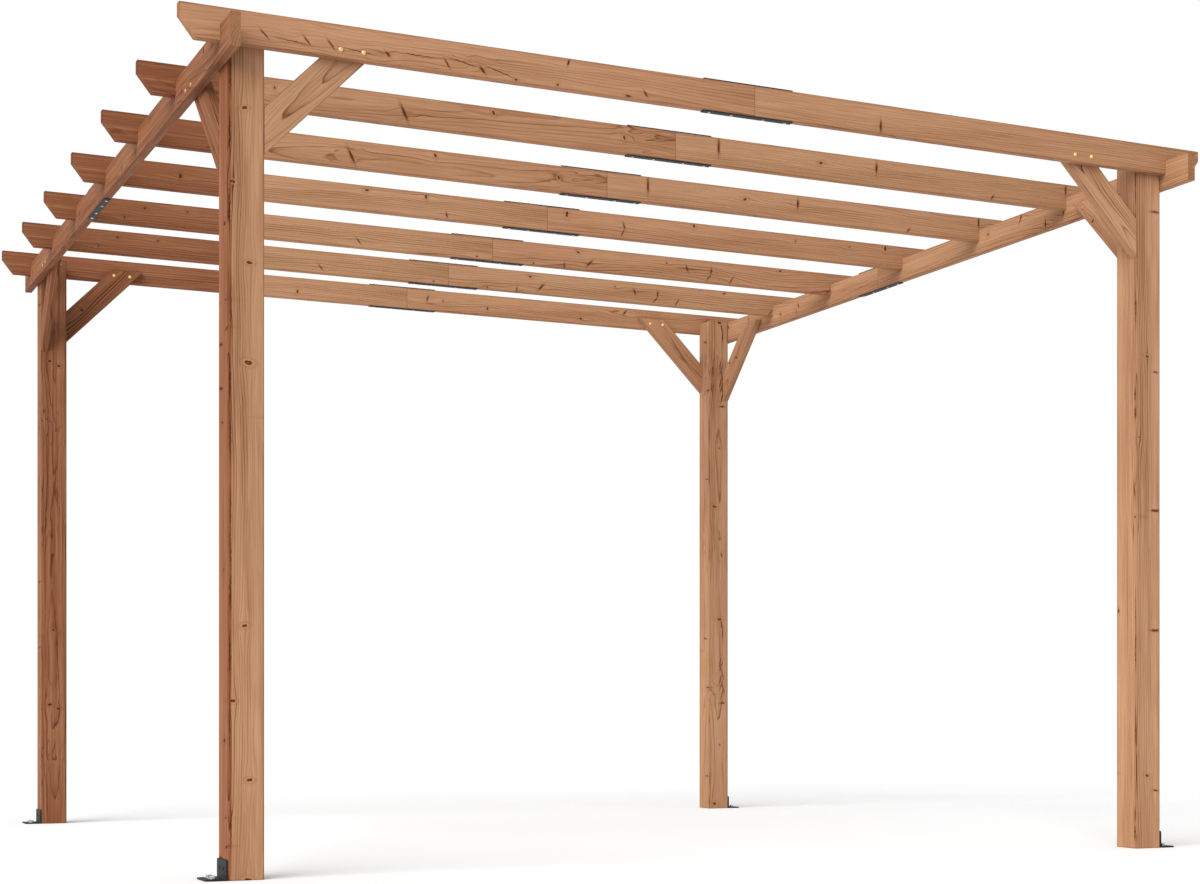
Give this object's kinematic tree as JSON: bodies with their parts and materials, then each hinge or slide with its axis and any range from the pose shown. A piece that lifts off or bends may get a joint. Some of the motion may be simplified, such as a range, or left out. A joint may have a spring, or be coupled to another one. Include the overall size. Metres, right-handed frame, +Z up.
{
  "type": "wooden pergola",
  "caption": "Open garden pergola of square timber posts, side beams and notched rafters with slanted tails, knee braces at every corner and steel splice plates and feet.",
  "frame": {"origin": "ground level at the middle of the plan", "axes": "+X along the rafters to the right, +Y along the side beams to the back, +Z up"},
  "size_m": [3.054, 3.034, 2.079],
  "materials": {
    "post_timber": "planed, reddish brown",
    "beam_timber": "planed, reddish brown",
    "rafter_timber": "planed, reddish brown",
    "brace_timber": "planed, reddish brown",
    "plate_steel": "satin black",
    "bracket_steel": "satin black",
    "bolt_brass": "yellow zinc",
    "screw_zinc": "bright zinc"
  },
  "bodies": {
    "root": {"post_front_left": "post_timber", "post_front_right": "post_timber", "post_back_left": "post_timber", "post_back_right": "post_timber", "foot_bracket_front_left": "bracket_steel", "foot_bracket_front_right": "bracket_steel", "foot_bracket_back_left": "bracket_steel", "foot_bracket_back_right": "bracket_steel", "beam_left_front": "beam_timber", "beam_left_back": "beam_timber", "beam_right_front": "beam_timber", "beam_right_back": "beam_timber", "rafter_1_left": "rafter_timber", "rafter_1_right": "rafter_timber", "rafter_2_left": "rafter_timber", "rafter_2_right": "rafter_timber", "rafter_3_left": "rafter_timber", "rafter_3_right": "rafter_timber", "rafter_4_left": "rafter_timber", "rafter_4_right": "rafter_timber", "rafter_5_left": "rafter_timber", "rafter_5_right": "rafter_timber", "rafter_6_left": "rafter_timber", "rafter_6_right": "rafter_timber", "rafter_7_left": "rafter_timber", "rafter_7_right": "rafter_timber", "rafter_brace_front_left": "brace_timber", "rafter_brace_front_right": "brace_timber", "rafter_brace_back_left": "brace_timber", "rafter_brace_back_right": "brace_timber", "beam_brace_front_left": "brace_timber", "beam_brace_front_right": "brace_timber", "beam_brace_back_left": "brace_timber", "beam_brace_back_right": "brace_timber", "rafter_1_plates": "plate_steel", "rafter_2_plates": "plate_steel", "rafter_3_plates": "plate_steel", "rafter_4_plates": "plate_steel", "rafter_5_plates": "plate_steel", "rafter_6_plates": "plate_steel", "rafter_7_plates": "plate_steel", "beam_left_plates": "plate_steel", "beam_right_plates": "plate_steel"}
  },
  "joints": []
}
